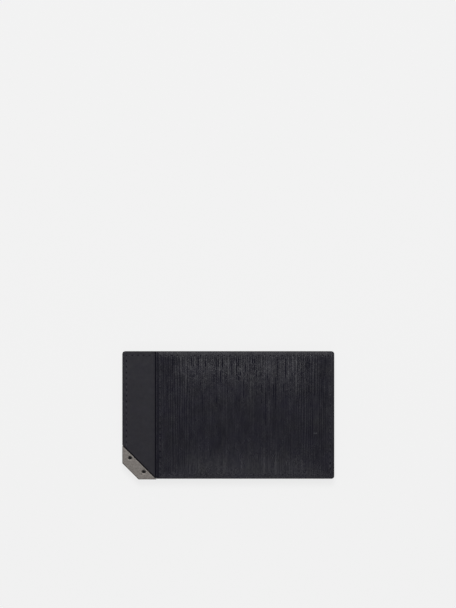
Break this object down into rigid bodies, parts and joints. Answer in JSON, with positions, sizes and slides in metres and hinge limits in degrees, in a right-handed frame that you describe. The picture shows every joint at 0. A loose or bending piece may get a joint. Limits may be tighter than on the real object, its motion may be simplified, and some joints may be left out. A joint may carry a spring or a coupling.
{
  "type": "card wallet",
  "caption": "Slim leather card case: two leaves hinged at the bottom edge with folded side gussets, card slots on the back and a screwed metal guard round one corner.",
  "frame": {"origin": "centre of the case in X and Y, on the outer face of the lower card pocket that it rests on", "axes": "+X along the long edge to the right as seen from the front, +Y towards the open top edge, +Z out of the front face"},
  "size_m": [0.1124, 0.068, 0.01],
  "materials": {
    "grain_leather": "fine wavy embossed grain, satin",
    "smooth_leather": "smooth, satin",
    "lining": "matt",
    "stiffener_board": "matt",
    "edge_paint": "smooth satin coat",
    "thread": "twisted waxed thread",
    "gunmetal": "satin gunmetal",
    "black_screw": "black oxide"
  },
  "bodies": {
    "back_leaf": {"back_panel": "smooth_leather", "back_stiffener": "stiffener_board", "back_lining": "lining", "back_edge_paint": "edge_paint", "back_panel_thread": "thread", "upper_card_pocket": "grain_leather", "upper_pocket_thread": "thread", "lower_card_pocket": "grain_leather", "lower_pocket_thread": "thread", "back_corner_guard": "gunmetal", "back_guard_backplate": "gunmetal", "back_guard_screws": "black_screw", "left_gusset": "smooth_leather", "right_gusset": "smooth_leather", "bottom_hinge_strip": "smooth_leather"},
    "front_leaf": {"front_overlay": "grain_leather", "front_panel": "smooth_leather", "front_stiffener": "stiffener_board", "front_lining": "lining", "front_edge_paint": "edge_paint", "front_panel_thread": "thread", "front_overlay_thread": "thread", "front_corner_guard": "gunmetal", "front_guard_backplate": "gunmetal", "front_guard_screws": "black_screw"}
  },
  "joints": [
    {"name": "front_leaf_opening", "type": "hinge", "parent": "back_leaf", "child": "front_leaf", "pos_m": [0, -0.0333, 0.0058], "axis": [1, 0, 0], "range_deg": [0, 12], "stiffness_Nm_per_rad": 0.01, "deforming": ["left_gusset", "right_gusset", "bottom_hinge_strip"]}
  ]
}
